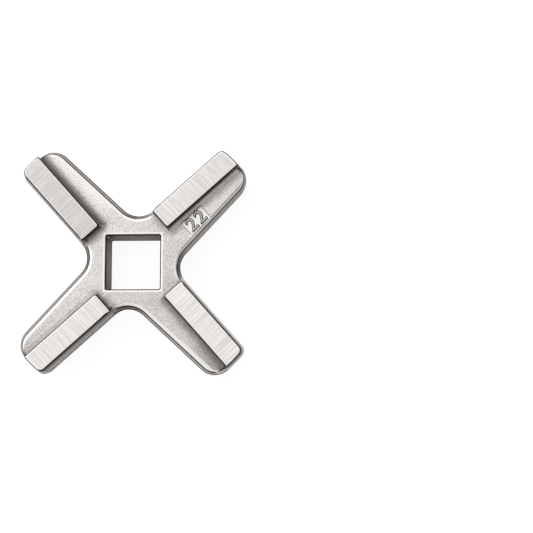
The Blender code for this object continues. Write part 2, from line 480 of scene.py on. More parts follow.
@dataclass
class Casting:
    """The knife itself: body, lands with their hollow fillets, and the square hole."""

    plan: Plan
    mark: SizeMark
    draft: float = radians(8.0)
    back_radius: float = 1.0 * MM
    back_steps: int = 8
    bead: float = 0.05 * MM
    crease_height: float = 9.40 * MM
    crease_width: float = 0.14 * MM
    crease_depth: float = 0.12 * MM
    crease_tip: float = 0.06 * MM
    roll_width: float = 1.1 * MM
    tip_roll: float = 0.6 * MM
    roll_steps: int = 12
    gully_radius: float = 2.8 * MM
    end_fillet: float = 1.6 * MM
    fillet_steps: int = 20
    land_draft: float = radians(2.5)
    hollow_slope: float = radians(15)
    land_corner: float = 0.7 * MM
    plinth_steps: int = 14
    tip_corner: float = 0.45 * MM
    ground_edge: float = 0.42 * MM
    hole_width: float = 14.8 * MM
    hole_draft: float = radians(1.2)
    hole_corner: float = 0.45 * MM
    hole_corner_steps: int = 10
    hole_edge: float = 0.50 * MM
    hole_edge_steps: int = 5
    hole_overcut: float = 2.5
    reach: float = 0.6 * MM
    seat: float = 0.05 * MM
    margin: float = 3.0 * MM
    sharp: float = radians(30)
    upright: float = 2.0 * MM
    end_near: float = 2.5 * MM
    arm_near: float = 9.0 * MM
    level: float = 0.99
    flat: float = 0.999
    smooth_angle: float = radians(32)

    def _low_rings(self) -> list[Ring]:
        """Gives the rings of hub and arms, from the back face up to the cast top.

        Returns:
            The rings: rounded back edge, drafted wall, bead at the parting, flare, crease, roll.
        """
        plan, parting = self.plan, self.plan.parting_height
        rings = []
        for angle in quarter(self.back_steps):
            height = self.back_radius * (1 - cos(angle))
            inset = (parting - height) * tan(self.draft) + self.back_radius * (1 - sin(angle))
            rings.append(plan.ring(height, -inset, -inset))
        for share, bead in ((0.35, 0.0), (0.7, 0.0), (0.95, self.bead)):
            height = self.back_radius + (parting - self.back_radius) * share
            inset = (parting - height) * tan(self.draft) + bead
            rings.append(plan.ring(height, -inset, -inset))
        crease = self.crease_height - self.crease_width
        side, tip = plan.wall_flare + self.crease_depth, plan.tip_flare + self.crease_tip
        for height, in_side, in_tip in (
            (parting, 0.0, 0.0),
            (parting + 0.12 * MM, 0.14 * MM, 0.08 * MM),
            (crease - 0.10 * MM, 0.60 * MM, 0.24 * MM),
            (crease, 0.70 * MM, plan.tip_flare),
            (crease + self.crease_width * 0.4, side, tip),
            (crease + self.crease_width * 0.7, side, tip),
        ):
            rings.append(plan.ring(height, -in_side, -in_tip))
        roll_height = plan.body_height - self.crease_height
        for angle in quarter(self.roll_steps):
            side = -plan.wall_flare - self.roll_width * (1 - cos(angle))
            tip = -plan.tip_flare - self.tip_roll * (1 - cos(angle))
            rings.append(plan.ring(self.crease_height + roll_height * sin(angle), side, tip))
        return rings

    def _plinth(self, height: float, gully: float, end: float) -> Ring:
        """Gives a land's outline along its arm, open past the tip and the leading wall.

        Args:
            height: The ring's height.
            gully: How far it reaches out behind the land.
            end: How far it does at the land's inner end.

        Returns:
            The ring's points, on the first arm.
        """
        plan = self.plan
        back = plan.cutting_edge - plan.land_width - gully
        front = plan.cutting_edge + plan.wall_flare + self.margin
        inner = plan.land_start - end
        outer = plan.tip_radius + plan.tip_flare + self.margin
        corner = max(min(gully, end) + self.land_corner, TINY)
        centre = Vector((inner + corner, back + corner))
        ring = arc(centre, corner, pi, 3 * pi / 2, self.plinth_steps)
        ring += [Vector((outer, back)), Vector((outer, front)), Vector((inner, front))]
        return [plan.over_arm(point.x, point.y, height) for point in ring]

    def _on_every_arm(self, first: Piece) -> Piece:
        """Copies a piece of the first arm to the others.

        Args:
            first: The piece.

        Returns:
            The one object that holds them all.
        """
        copies = [first]
        for arm in range(1, self.plan.arms):
            copy = first.copy()
            copy.data = first.data.copy()
            bpy.context.scene.collection.objects.link(copy)
            copy.data.transform(Matrix.Rotation(self.plan.pitch * arm, 4, "Z"))
            copies.append(copy)
        pick(first)
        for copy in copies:
            copy.select_set(True)
        bpy.ops.object.join()
        return first

    def _hollows(self) -> Piece:
        """Makes the hollow fillets that run round each land, inside the rolled rim.

        Returns:
            The object.
        """
        plan = self.plan
        foot = plan.body_height - 0.15 * self.seat
        rings = [self._plinth(plan.parting_height - self.reach, self.gully_radius, self.end_fillet)]
        for angle in quarter(self.fillet_steps):
            rise = self.gully_radius * (1 - cos(angle))
            gully = self._hollow(self.gully_radius, rise)
            rings.append(self._plinth(foot + rise, gully, self._hollow(self.end_fillet, rise)))
        side = -plan.wall_flare - self.roll_width + self.seat
        tip = -plan.tip_flare - self.tip_roll + self.seat
        slope = (plan.land_height - plan.body_height) * tan(self.hollow_slope)
        low, middle = (plan.ring(z, side, tip) for z in (plan.parting_height, plan.body_height))
        high = plan.ring(plan.land_height, side - slope, tip - slope)
        blank = loft("hollows", [low, middle, high])
        combine(blank, self._on_every_arm(loft("hollow_plinths", rings)), "INTERSECT")
        return blank

    @staticmethod
    def _hollow(radius: float, rise: float) -> float:
        """Gives how far a hollow fillet reaches out at a height above its foot."""
        return radius - sqrt(radius**2 - (radius - rise) ** 2) if rise < radius else 0.0

    def _lands(self) -> Piece:
        """Makes the four lands, with rounded corners and a fine ground edge.

        Returns:
            The object.
        """
        plan = self.plan
        foot = plan.parting_height - 2 * self.reach
        top = plan.land_height + self.reach
        spread = (plan.land_height - foot) * tan(self.land_draft)
        over = self.reach * tan(self.land_draft)
        under = self.seat + self.reach / 2
        rings = [
            plan.ring(plan.parting_height - self.reach, -under, -under),
            plan.ring(plan.parting_height, -self.seat, -self.seat),
            plan.ring(plan.land_height, -plan.wall_flare, -plan.tip_flare),
        ]
        blank = loft("lands", rings)
        rings = [self._plinth(foot, spread, spread), self._plinth(top, -over, -over)]
        combine(blank, self._on_every_arm(loft("land_plinths", rings)), "INTERSECT")
        round_edges(blank, self._is_upright_at(plan.land_start, 1), self.land_corner, 8)
        round_edges(blank, self._is_upright_at(plan.tip_radius, -1), self.tip_corner, 6)
        round_edges(blank, self._is_round_top, self.ground_edge, 4)
        return blank

    def _is_upright_at(self, along: float, side: int) -> EdgeTest:
        """Gives the test for the upright edges of the lands at one of their ends.

        Args:
            along: About how far along the arm they are.
            side: 1 for the edge at the leading wall, and -1 for the one at the gully.

        Returns:
            The test.
        """
        plan = self.plan
        middle = plan.cutting_edge - plan.land_width / 2

        def test(edge: bmesh.types.BMEdge) -> bool:
            """Says whether an edge is one of them.

            Args:
                edge: The edge.

            Returns:
                Whether it is.
            """
            low, high = sorted((vertex.co for vertex in edge.verts), key=lambda point: point.z)
            if high.z - low.z < self.upright or edge.calc_face_angle(0) < self.sharp:
                return False
            places = [plan.on_arm((low + high) / 2, arm) for arm in range(plan.arms)]
            return any(
                abs(u - along) < self.end_near and abs(v) < self.arm_near and (v - middle) * side > 0
                for u, v in places
            )

        return test

    def _is_round_top(self, edge: bmesh.types.BMEdge) -> bool:
        """Says whether an edge bounds a land's flat top."""
        level = all(abs(v.co.z - self.plan.land_height) < TINY for v in edge.verts)
        return level and edge.calc_face_angle(0) > self.sharp

    def _square(self, height: float, half: float) -> Ring:
        """Gives the hole's outline.

        Args:
            height: The ring's height.
            half: Half its width.

        Returns:
            The ring's points.
        """
        inner = half - self.hole_corner
        ring = []
        for side in range(4):
            start = side * pi / 2
            centre = turned(Vector((inner, inner)), start)
            ring += arc(centre, self.hole_corner, start, start + pi / 2, self.hole_corner_steps)
        rise = Vector((0, 0, height))
        return [turned(point, self.plan.hole_turn).to_3d() + rise for point in ring]

    def _hole(self) -> Piece:
        """Makes the cutter of the square hole, with rounded rims at both faces.

        Returns:
            The object.
        """
        top, edge = self.plan.body_height, self.hole_edge
        past = self.hole_overcut * edge
        low, high = [], []
        for angle in quarter(self.hole_edge_steps):
            depth, wider = edge * (1 - cos(angle)), edge * (1 - sin(angle))
            low.append(self._square(depth, self._half(0) + wider))
            high.insert(0, self._square(top - depth, self._half(top - edge) + wider))
        first = self._square(-edge, self._half(0) + past)
        last = self._square(top + edge, self._half(top) + past)
        return loft("square_hole", [first, *low, *high, last])

    def _half(self, height: float) -> float:
        """Gives half the hole's width at a height."""
        return self.hole_width / 2 - (self.plan.body_height - height) * tan(self.hole_draft)

    def _is_in_hole(self, point: Vector) -> bool:
        """Says whether a point lies within the hole's width, its rounded rim included."""
        place = turned(point.to_2d(), -self.plan.hole_turn)
        return max(abs(place.x), abs(place.y)) < self._half(self.plan.body_height) + self.hole_edge

    def _skin_of(self, face: bpy.types.MeshPolygon) -> Skin:
        """Tells a face's finish by its place and normal.

        Args:
            face: The face.

        Returns:
            The finish.
        """
        centre, normal = face.center, face.normal
        marked = self.mark.skin_of(centre, normal)
        if marked is not None:
            return marked
        if centre.z > self.plan.land_height - TINY and normal.z > self.level:
            return Skin.GROUND
        if centre.z > self.plan.land_height - self.ground_edge:
            return Skin.EDGE
        if not self._is_in_hole(centre) or abs(normal.z) > self.flat:
            return Skin.CAST
        return Skin.EDGE if centre.z > self.plan.body_height - self.hole_edge else Skin.HOLE

    def build(self, finishes: dict[Skin, bpy.types.Material]) -> Piece:
        """Models the casting and dresses it.

        Args:
            finishes: The material of each finish.

        Returns:
            The finished piece.
        """
        knife = loft("knife_casting", self._low_rings())
        combine(knife, self._hollows(), "UNION")
        combine(knife, self._lands(), "UNION")
        combine(knife, self._hole(), "DIFFERENCE")
        combine(knife, self.mark.recess(), "DIFFERENCE")
        combine(knife, self.mark.pad(), "UNION")
        combine(knife, self.mark.figures(), "UNION")
        for skin in Skin:
            knife.data.materials.append(finishes[skin])
        for face in knife.data.polygons:
            face.material_index = self._skin_of(face).value
        pick(knife)
        bpy.ops.object.shade_smooth_by_angle(angle=self.smooth_angle)
        apply_modifier(knife, "WEIGHTED_NORMAL", keep_sharp=True, weight=100)
        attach(knife, "root")
        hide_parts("knife")
        return knife


# Finishes


class Number:
    """A number that nodes work out, for use in plain sums."""

    def __init__(self, graph: "Graph", socket: Socket) -> None:
        """Keeps the output that gives the number."""
        self.graph, self.socket = graph, socket

    def __add__(self, other: Value) -> "Number":
        """Adds another number."""
        return self.graph.math("ADD", self, other)

    def __mul__(self, other: Value) -> "Number":
        """Multiplies by another number."""
        return self.graph.math("MULTIPLY", self, other)

    __radd__ = __add__
    __rmul__ = __mul__

    def __sub__(self, other: Value) -> "Number":
        """Takes another number away."""
        return self.graph.math("SUBTRACT", self, other)

    def __rsub__(self, other: Value) -> "Number":
        """Takes this number away from another."""
        return self.graph.math("SUBTRACT", other, self)

    def __truediv__(self, other: Value) -> "Number":
        """Divides by another number."""
        return self.graph.math("DIVIDE", self, other)

    def __or__(self, other: Value) -> "Number":
        """Gives the larger of this number and another."""
        return self.graph.math("MAXIMUM", self, other)

    def ease(self, start: float, end: float) -> "Number":
        """Gives a number that eases from 0 to 1.

        Args:
            start: Where this number gives 0.
            end: Where it gives 1.

        Returns:
            The number.
        """
        feeds = {"Value": self, "From Min": start, "From Max": end}
        made = self.graph.node("MapRange", feeds, interpolation_type="SMOOTHSTEP")
        return Number(self.graph, made.outputs["Result"])

    def fade(self, start: float, end: float) -> "Number":
        """Gives a number that eases from 1 at start to 0 at end."""
        return 1.0 - self.ease(start, end)

    def band(self, low: float, high: float, soft: float) -> "Number":
        """Gives 1 between two values and eases to 0 outside them."""
        return self.ease(low - soft, low + soft) - self.ease(high - soft, high + soft)

    def curve(self, stops: Stops, kind: str = "LINEAR") -> "Number":
        """Gives a number read off a curve.

        Args:
            stops: The curve's points, each a place from 0 to 1 and a level.
            kind: How it runs between them.

        Returns:
            The number.
        """
        ramp = self.graph.node("ValToRGB", {0: self})
        ramp.color_ramp.interpolation = kind
        elements = ramp.color_ramp.elements
        while len(elements) < len(stops):
            elements.new(0.5)
        for element, (place, level) in zip(elements, stops):
            element.position = place
            element.color = (level, level, level, 1)
        return Number(self.graph, ramp.outputs[0])


class Graph:
    """Adds nodes to a node tree and links them as it goes."""

    def __init__(self, tree: bpy.types.NodeTree) -> None:
        """Keeps the tree, with what it holds already."""
        self.tree = tree

    def put(self, socket: Socket, value: Value) -> None:
        """Feeds an input.

        Args:
            socket: The input.
            value: A number, vector or colour, or another node's output.
        """
        if isinstance(value, Number):
            value = value.socket
        if isinstance(value, Socket):
            self.tree.links.new(value, socket)
        else:
            socket.default_value = (*value, 1) if socket.type == "RGBA" else value

    def feed(self, **inputs: Value) -> None:
        """Feeds inputs of the material's own shader, by their names."""
        for name, value in inputs.items():
            self.put(self.tree.nodes["Principled BSDF"].inputs[name.replace("_", " ")], value)

    def node(self, kind: str, feeds: dict[object, Value], **settings: object) -> bpy.types.Node:
        """Adds a node.

        Args:
            kind: The node's type, without the words that all types start with.
            feeds: What goes into its inputs, by name or number.
            settings: Its settings by name.

        Returns:
            The node.
        """
        made = self.tree.nodes.new("ShaderNode" + kind)
        for name, value in settings.items():
            setattr(made, name, value)
        for key, value in feeds.items():
            self.put(made.inputs[key], value)
        return made

    def math(self, operation: str, first: Value, second: Value = 0.0) -> Number:
        """Adds a Math node and gives its number."""
        return Number(self, self.node("Math", {0: first, 1: second}, operation=operation).outputs[0])

    def lay(self, colour: Value, *layers: tuple[Value, Value], kind: str = "MIX") -> Value:
        """Lays further colours over one.

        Args:
            colour: The colour below.
            layers: The share and the colour of each layer.
            kind: How they mix with what lies below.

        Returns:
            The colour.
        """
        for share, tone in layers:
            feeds = {0: share, 6: colour, 7: tone}
            colour = self.node("Mix", feeds, data_type="RGBA", blend_type=kind).outputs[2]
        return colour

    def place(self) -> Socket:
        """Gives the point's place on the object."""
        return self.node("TexCoord", {}).outputs["Object"]

    def parts(self, vector: Socket) -> list[Number]:
        """Gives the three numbers of a vector."""
        return [Number(self, part) for part in self.node("SeparateXYZ", {0: vector}).outputs]

    def noise(self, at: Socket, scale: float, detail: float = 3.0, rough: float = 0.6) -> Number:
        """Adds a Noise Texture and gives its value."""
        feeds = {"Vector": at, "Scale": scale, "Detail": detail, "Roughness": rough}
        return Number(self, self.node("TexNoise", feeds).outputs["Fac"])

    def bump(self, height: Number, strength: float, depth: float) -> bpy.types.Node:
        """Adds a Bump node, which stands up by its depth where the height is 1."""
        return self.node("Bump", {"Height": height, "Strength": strength, "Distance": depth})

    def dull(self, share: Number, metal: float, gloss: float = 0.5) -> None:
        """Takes the shine off a share of the surface, and leaves the rest its metal and gloss."""
        rest = 1.0 - share
        self.feed(Metallic=rest * metal, Specular_IOR_Level=rest * gloss)

    def openness(self, distance: float) -> Number:
        """Gives how open the surface is, from 0 in a tight corner to 1 in the open."""
        made = self.node("AmbientOcclusion", {"Distance": distance}, samples=8, only_local=True)
        return Number(self, made.outputs["AO"])

    def facing(self) -> Number:
        """Gives how far the surface faces up, from 1 for level to 0 for upright."""
        return self.parts(self.node("NewGeometry", {}).outputs["Normal"])[2]

    def from_hole(self, plan: Plan) -> list[Number]:
        """Gives the point's distances from the two planes midway between the hole's walls."""
        level = self.node("Mapping", {0: self.place(), 2: (0, 0, -plan.hole_turn)}).outputs[0]
        return [self.math("ABSOLUTE", part) for part in self.parts(level)[:2]]


class ArmPlace:
    """A point's place on the object and on its own arm."""

    def __init__(self, graph: Graph, plan: Plan) -> None:
        """Works the place out.

        Args:
            graph: The material's graph.
            plan: The knife's plan.
        """
        self.at = graph.place()
        self.x, self.y, self.height = graph.parts(self.at)
        first = plan.pitch / 2 - plan.land_angle + 2 * pi
        shifted = graph.math("ARCTAN2", self.y, self.x) + first
        local = graph.math("FLOORED_MODULO", shifted, plan.pitch) - plan.pitch / 2
        number = graph.math("FLOORED_MODULO", shifted / plan.pitch, plan.arms)
        self.number = graph.math("FLOOR", number)
        self.radius = graph.math("SQRT", self.x * self.x + self.y * self.y)
        self.along = self.radius * graph.math("COSINE", local)
        self.across = self.radius * graph.math("SINE", local)

    def level(self, levels: Levels) -> Number:
        """Gives each arm a level of its own, from 0 to 1."""
        stops = tuple((arm / len(levels), level) for arm, level in enumerate(levels))
        return ((self.number + 0.5) / len(levels)).curve(stops, "CONSTANT")


@dataclass(frozen=True)
class Finish:
    """A finish, made as a material whose shader is fed by nodes."""

    def material(self, name: str, **inputs: Value) -> bpy.types.Material:
        """Makes the material.

        Args:
            name: The material's name.
            inputs: What is the same all over the surface, by the shader's own names.

        Returns:
            The material.
        """
        made = bpy.data.materials.new(name)
        made.use_nodes = True
        graph = Graph(made.node_tree)
        graph.feed(**inputs)
        self.paint(graph)
        return made

    def paint(self, graph: Graph) -> None:
        """Feeds the shader, which each finish does in its own way."""
        raise NotImplementedError


@dataclass(frozen=True)
class PaintedStroke:
    """A short painted stroke on the cast top, with its ends and width in metres.

    A bright stroke is a painted highlight, and a dark one painted shade.
    """

    start: Span
    end: Span
    width: float
    bright: bool


@dataclass(frozen=True)
class CastSkin(Finish):
    """Blasted cast steel: pale and grainy on top, darker on the walls and in the hollows.

    Much of the darkening is painted shade: on the walls, which also have a darker skin of their own,
    in the hollows, corners and creases, and over some whole arms. The pale bands along the rims and
    trailing sides are painted highlights. The levels are one share for each arm, counter-clockwise
    from the first quadrant, set by how the light falls on that arm. A span holds where something
    eases in and is full, and a band its two ends and how softly it ends there.
    """

    plan: Plan
    pale: Colour = (0.93, 0.895, 0.87)
    grey: Colour = (0.50, 0.47, 0.45)
    # rim and bright: pale colours of painted highlights, on rims, edges and trailing sides.
    rim: Colour = (1.0, 0.965, 0.94)
    bright: Colour = (1.0, 0.99, 0.98)
    wall: Colour = (0.66, 0.615, 0.58)
    # The next two near-black colours are painted shade: line for thin dark lines, the other for broad
    # darkening.
    line: Colour = (0.020, 0.017, 0.015)
    painted_shade: Colour = (0.030, 0.026, 0.023)
    metal: float = 0.55
    least_rough: float = 0.36
    more_rough: float = 0.2
    grain: float = 3000.0
    grain_share: float = 0.78
    grain_bump: Span = (0.45, 0.06 * MM)
    blotch: float = 520.0
    blotch_bump: Span = (0.25, 0.20 * MM)
    streaks: float = 900.0
    streak_share: float = 0.4
    pale_span: Span = (0.36, 0.60)
    # Painted highlight: the outer part of some arms lifted towards the highlight colour.
    shine: Levels = (0.34, 0.80, 0.0, 0.0)
    shine_span: Span = (0.36, 0.50)
    # Painted shade: the outer part of some arms darkened.
    dull: Levels = (0.0, 0.0, 0.04, 0.06)
    outer_span: Span = mm(11, 20)
    # Painted shade over the lower right of the hub.
    shade: float = 0.14
    shade_span: Span = mm(-8, 20)
    shade_reach: Span = mm(12, 17)
    # Painted shade towards the tips, set for each arm.
    tip_shade: Levels = (0.06, 0.0, 0.16, 0.42)
    tip_shade_span: Span = mm(24, 38)
    # Painted shade in the hollows beside and before each land, set for each arm, with darker stripes
    # along some lands.
    side_shade: Levels = (0.02, 1.0, 0.30, 0.66)
    side_reach: float = 4.2 * MM
    end_shade: Levels = (0.48, 0.78, 0.95, 0.70)
    end_reach: float = 3.2 * MM
    shade_fray: float = 0.35
    shade_turn: float = 0.15
    shade_curve: Stops = ((0.0, 0.0), (0.35, 0.10), (0.65, 0.33), (0.85, 0.62), (1.0, 0.85))
    stripe: Levels = (0.0, 0.28, 0.0, 0.22)
    stripe_band: Span = mm(0.3, 1.9, 0.5)
    far_stripe: Levels = (0.0, 0.0, 0.20, 0.0)
    far_stripe_band: Span = mm(0.9, 2.4, 0.8)
    stripe_span: Span = mm(11.7, 13.2)
    # Painted shade: a short dark line at each tip, set for each arm.
    tip_line_inner: Levels = (0.62, 0.45, 0.50, 0.95)
    tip_line_outer: Levels = (0.0, 0.15, 0.0, 0.60)
    tip_line_reach: Levels = (0.60, 0.30, 0.50, 0.62)
    tip_line_longest: float = 5 * MM
    tip_line_edge: Span = mm(-0.10, 0.10)
    tip_line_span: Span = mm(-0.5, 0.7)
    tip_line_share: float = 0.95
    # Painted highlight on the rolled rim, fading out where the painted shade of the hollows lies.
    roll_facing: Span = (0.84, 0.996, 0.003)
    roll_band: Span = mm(9.62, 9.994, 0.003)
    roll_shade: Span = (0.0, 0.3)
    # Painted highlight: a broad pale band along the trailing sides, set for each arm and broken up by
    # the grain.
    sheen_side: Levels = (0.0, 0.30, 0.30, 1.0)
    sheen_span: Span = mm(10, 15)
    sheen_width: float = 0.95 * MM
    sheen_widening: float = 0.40 * MM
    widening_span: Span = mm(13, 30)
    sheen_edge: Span = mm(-0.20, 0.35)
    sheen_facing: Span = (0.9, 0.97)
    sheen_grain: Span = (0.26, 0.42)
    # Painted highlight round the rim of the square hole.
    hole_reach: Span = mm(8.12, 8.24)
    hole_rim_span: Span = mm(9.4, 9.6)
    # Painted shade: a fine dark line along the rim of one arm.
    rim_shade: Levels = (1.0, 0.0, 0.0, 0.0)
    rim_shade_band: Span = mm(9.935, 9.975, 0.008)
    rim_shade_along: Span = mm(9, 13)
    rim_shade_across: Span = mm(-3, -4)
    # Painted shade: the walls' darker colour carried up onto the rim's turn, set for each arm.
    brim: Levels = (0.5, 1.0, 1.0, 1.0)
    brim_facing: Span = (0.72, 0.90)
    brim_span: Span = mm(9.985, 10.01)
    steep_facing: Span = (0.30, 0.70)
    wall_span: Span = mm(9.48, 9.60)
    # How light the walls are by height, mostly painted shade: dark lines under the rim and at the
    # parting, and darker towards the bottom; front_curve does the same for the leading walls.
    wall_curve: Stops = (
        (0.0, 0.0), (0.07, 0.02), (0.16, 0.18), (0.30, 0.62), (0.50, 0.95), (0.61, 0.95),
        (0.628, 0.60), (0.640, 0.85), (0.678, 0.80), (0.688, 0.0), (0.738, 0.0), (0.75, 0.30),
        (0.88, 0.14), (0.95, 0.02),
    )
    front_curve: Stops = (
        (0.0, 0.0), (0.09, 0.02), (0.20, 0.22), (0.34, 0.85), (0.60, 1.0), (0.625, 0.75),
        (0.65, 0.95), (0.73, 0.90), (0.82, 0.65), (0.89, 0.30), (0.94, 0.08), (0.97, 0.02),
    )
    front_across: Span = mm(5.65, 5.95)
    front_along: Span = mm(11.2, 12.7)
    front_end: Span = mm(34.5, 35.5)
    front_end_across: Span = mm(0.0, 0.3)
    # Painted shade: a dark band at the parting line, set for each arm.
    parting_shade: Levels = (0.15, 0.95, 0.95, 0.70)
    parting_shade_band: Span = (0.612, 0.650, 0.005)
    # Painted shade on the walls near the hub.
    hub_dark: float = 0.60
    hub_span: Span = mm(9.5, 14.5)
    # Painted highlight: pale strips on the walls of one arm, under the land's edge and at the tip.
    pale_edge: Levels = (0.0, 0.0, 0.0, 0.85)
    pale_edge_band: Span = (0.600, 0.666, 0.014)
    strip_band: Span = (0.664, 0.735, 0.008)
    strip_along: Span = mm(35.5, 36.5)
    strip_across: Span = mm(-3.0, 0.3, 0.5)
    back_facing: Span = (-0.70, -0.30)
    wall_dull: float = 0.9
    shade_dull: float = 0.8
    sheen_dull: float = 0.9
    # Painted shade in tight corners, from how open the surface is.
    corner_reach: float = 0.5 * MM
    corner_span: Span = (0.45, 0.95)
    corner_shade: float = 0.6
    # Strokes standing in for small nicks and lips: bright ones are painted highlights, the dark one
    # painted shade at the foot of a land.
    stroke_share: float = 0.85
    stroke_end: float = 0.15 * MM
    stroke_side: float = 0.06 * MM
    strokes: tuple[PaintedStroke, ...] = (
        PaintedStroke(mm(9.4, 9.6), mm(10.2, 8.3), 0.24 * MM, False),
        PaintedStroke(mm(-8.4, -9.2), mm(-7.5, -8.3), 0.30 * MM, True),
        PaintedStroke(mm(-9.1, 10.3), mm(-7.9, 10.1), 0.24 * MM, True),
        PaintedStroke(mm(-5.2, -13.1), mm(-3.5, -12.4), 0.26 * MM, True),
        PaintedStroke(mm(-12.9, 5.0), mm(-12.3, 3.2), 0.22 * MM, True),
    )

    def _hollow_shade(self, arm: ArmPlace, ragged: Number) -> Number:
        """Gives the painted shade in the hollows round the lands, set for each arm by how the light
        falls.

        Args:
            arm: The point's place.
            ragged: A fine pattern that frays the edge of the painted shade.

        Returns:
            The share of painted shade, from 0 to 1.
        """
        plan = self.plan
        beside = plan.cutting_edge - plan.land_width - arm.across
        side = (beside | 0.0) / self.side_reach
        end = (plan.land_start - arm.along | 0.0) / self.end_reach
        share = (end - side).ease(-self.shade_turn, self.shade_turn)
        far = side + end + (ragged - 0.5) * self.shade_fray
        amount = arm.level(self.side_shade) * (1.0 - share) + arm.level(self.end_shade) * share
        stripe = beside.band(*self.stripe_band) * arm.level(self.stripe)
        stripe += beside.band(*self.far_stripe_band) * arm.level(self.far_stripe)
        started = arm.along.ease(*self.stripe_span)
        return (1.0 - far).curve(self.shade_curve) * amount + stripe * started

    def _walls(self, graph: Graph, arm: ArmPlace) -> Value:
        """Gives the colour of the steep walls, which changes with the height.

        The walls have a darker skin of their own, with painted shade laid in: dark lines under the
        rim and at the parting, and darkening towards the bottom and near the hub. One arm also has
        painted pale highlight strips.

        Args:
            graph: The material's graph.
            arm: The point's place.

        Returns:
            The colour.
        """
        along, across = arm.along, arm.across
        share = arm.height / self.plan.land_height
        leading = across.ease(*self.front_across) * along.ease(*self.front_along)
        leading |= along.ease(*self.front_end) * across.ease(*self.front_end_across)
        level = share.curve(self.wall_curve) * (1.0 - leading)
        level += share.curve(self.front_curve) * leading
        # painted shade at the parting
        level *= 1.0 - share.band(*self.parting_shade_band) * arm.level(self.parting_shade)
        streak = graph.noise(arm.at, self.streaks) * self.streak_share
        level *= streak + (1.0 - self.streak_share / 2)
        level *= 1.0 - along.fade(*self.hub_span) * self.hub_dark
        # painted highlight strips on one arm's walls
        edge = share.band(*self.pale_edge_band) * leading
        strip = share.band(*self.strip_band) * along.ease(*self.strip_along)
        strip *= across.band(*self.strip_across)
        pale = (edge | strip) * arm.level(self.pale_edge)
        return graph.lay(self.line, (level, self.wall), (pale, self.pale))

    def _hole_rim(self, graph: Graph, arm: ArmPlace) -> Number:
        """Gives the painted highlight round the square hole: a pale line, as a share of bright
        colour.
        """
        first, second = graph.from_hole(self.plan)
        return (first | second).fade(*self.hole_reach) * arm.height.ease(*self.hole_rim_span)

    def _sheen_band(self, arm: ArmPlace) -> Number:
        """Gives the broad painted highlight along the trailing sides, wider towards the tips.

        Args:
            arm: The point's place.

        Returns:
            The share of painted highlight.
        """
        plan = self.plan
        lean = arm.across * cos(plan.taper) - arm.along * sin(plan.taper)
        inward = lean + (plan.trailing - plan.wall_flare)
        width = arm.along.ease(*self.widening_span) * self.sheen_widening + self.sheen_width
        near = (inward - width).fade(*self.sheen_edge)
        return near * arm.along.ease(*self.sheen_span) * arm.level(self.sheen_side)

    def _tip_line(self, arm: ArmPlace) -> Number:
        """Gives a short dark line of painted shade between each gully's outer end and the tip's rim.

        Args:
            arm: The point's place.

        Returns:
            The share of painted shade.
        """
        inward = self.plan.tip_radius - arm.radius
        within = (arm.level(self.tip_line_inner) * MM - inward).ease(*self.tip_line_edge)
        beyond = (inward - arm.level(self.tip_line_outer) * MM).ease(*self.tip_line_edge)
        reach = arm.level(self.tip_line_reach) * self.tip_line_longest
        past = (arm.across + reach).ease(*self.tip_line_span)
        return within * beyond * past * self.tip_line_share

    def _stroke(self, arm: ArmPlace, mark: PaintedStroke) -> Number:
        """Gives one short stroke on the cast top.

        Args:
            arm: The point's place.
            mark: The stroke.

        Returns:
            The stroke's share, from 0 to 1.
        """
        start, end = Vector(mark.start), Vector(mark.end)
        way = (end - start).normalized()
        x, y = arm.x - start.x, arm.y - start.y
        half = mark.width / 2
        lengthwise = (x * way.x + y * way.y).band(0.0, (end - start).length, self.stroke_end)
        crosswise = (y * way.x - x * way.y).band(-half, half, self.stroke_side)
        return lengthwise * crosswise * self.stroke_share

    def _rim_shade(self, arm: ArmPlace) -> Number:
        """Gives a fine dark line of painted shade along the rim, on the trailing side of the marked
        arm.
        """
        sideways = arm.along.ease(*self.rim_shade_along) * arm.across.ease(*self.rim_shade_across)
        return arm.height.band(*self.rim_shade_band) * arm.level(self.rim_shade) * sideways

    def _is_wall(self, arm: ArmPlace, up: Number) -> Number:
        """Gives where the walls' colour shows: steep faces, the rim's brim and all below the roll.

        On the brim it is painted shade, set for each arm.

        Args:
            arm: The point's place.
            up: How far the surface faces up.

        Returns:
            The share of the walls' colour.
        """
        brim = up.fade(*self.brim_facing) * arm.height.fade(*self.brim_span) * arm.level(self.brim)
        return up.fade(*self.steep_facing) | brim | arm.height.fade(*self.wall_span)

